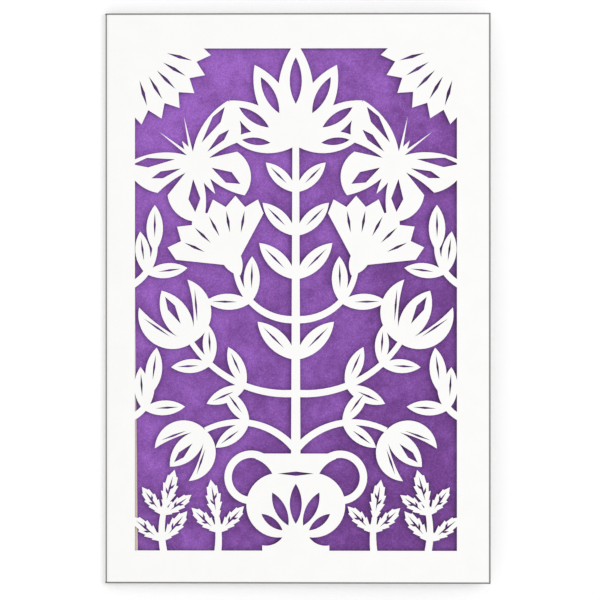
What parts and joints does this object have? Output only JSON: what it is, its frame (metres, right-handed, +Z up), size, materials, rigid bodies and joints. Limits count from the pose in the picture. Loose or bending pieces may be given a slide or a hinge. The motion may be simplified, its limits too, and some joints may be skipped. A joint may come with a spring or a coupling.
{
  "type": "laser-cut greeting card",
  "caption": "Folded greeting card, lying closed, with a lace-cut front leaf over a pearly coloured sheet.",
  "frame": {"origin": "middle of the resting face, under the centre of the bounding box", "axes": "+X from the fold to the free edges, +Y up the card's picture, +Z up through the front leaf"},
  "size_m": [0.115, 0.17, 0.006],
  "materials": {
    "white_board": "smooth matte",
    "pearl_paper": "pearlescent",
    "adhesive_strip": "matte"
  },
  "bodies": {
    "root": {"card": "white_board", "coloured_sheet": "pearl_paper", "fold_side_strip": "adhesive_strip", "free_side_strip": "adhesive_strip"}
  },
  "joints": []
}
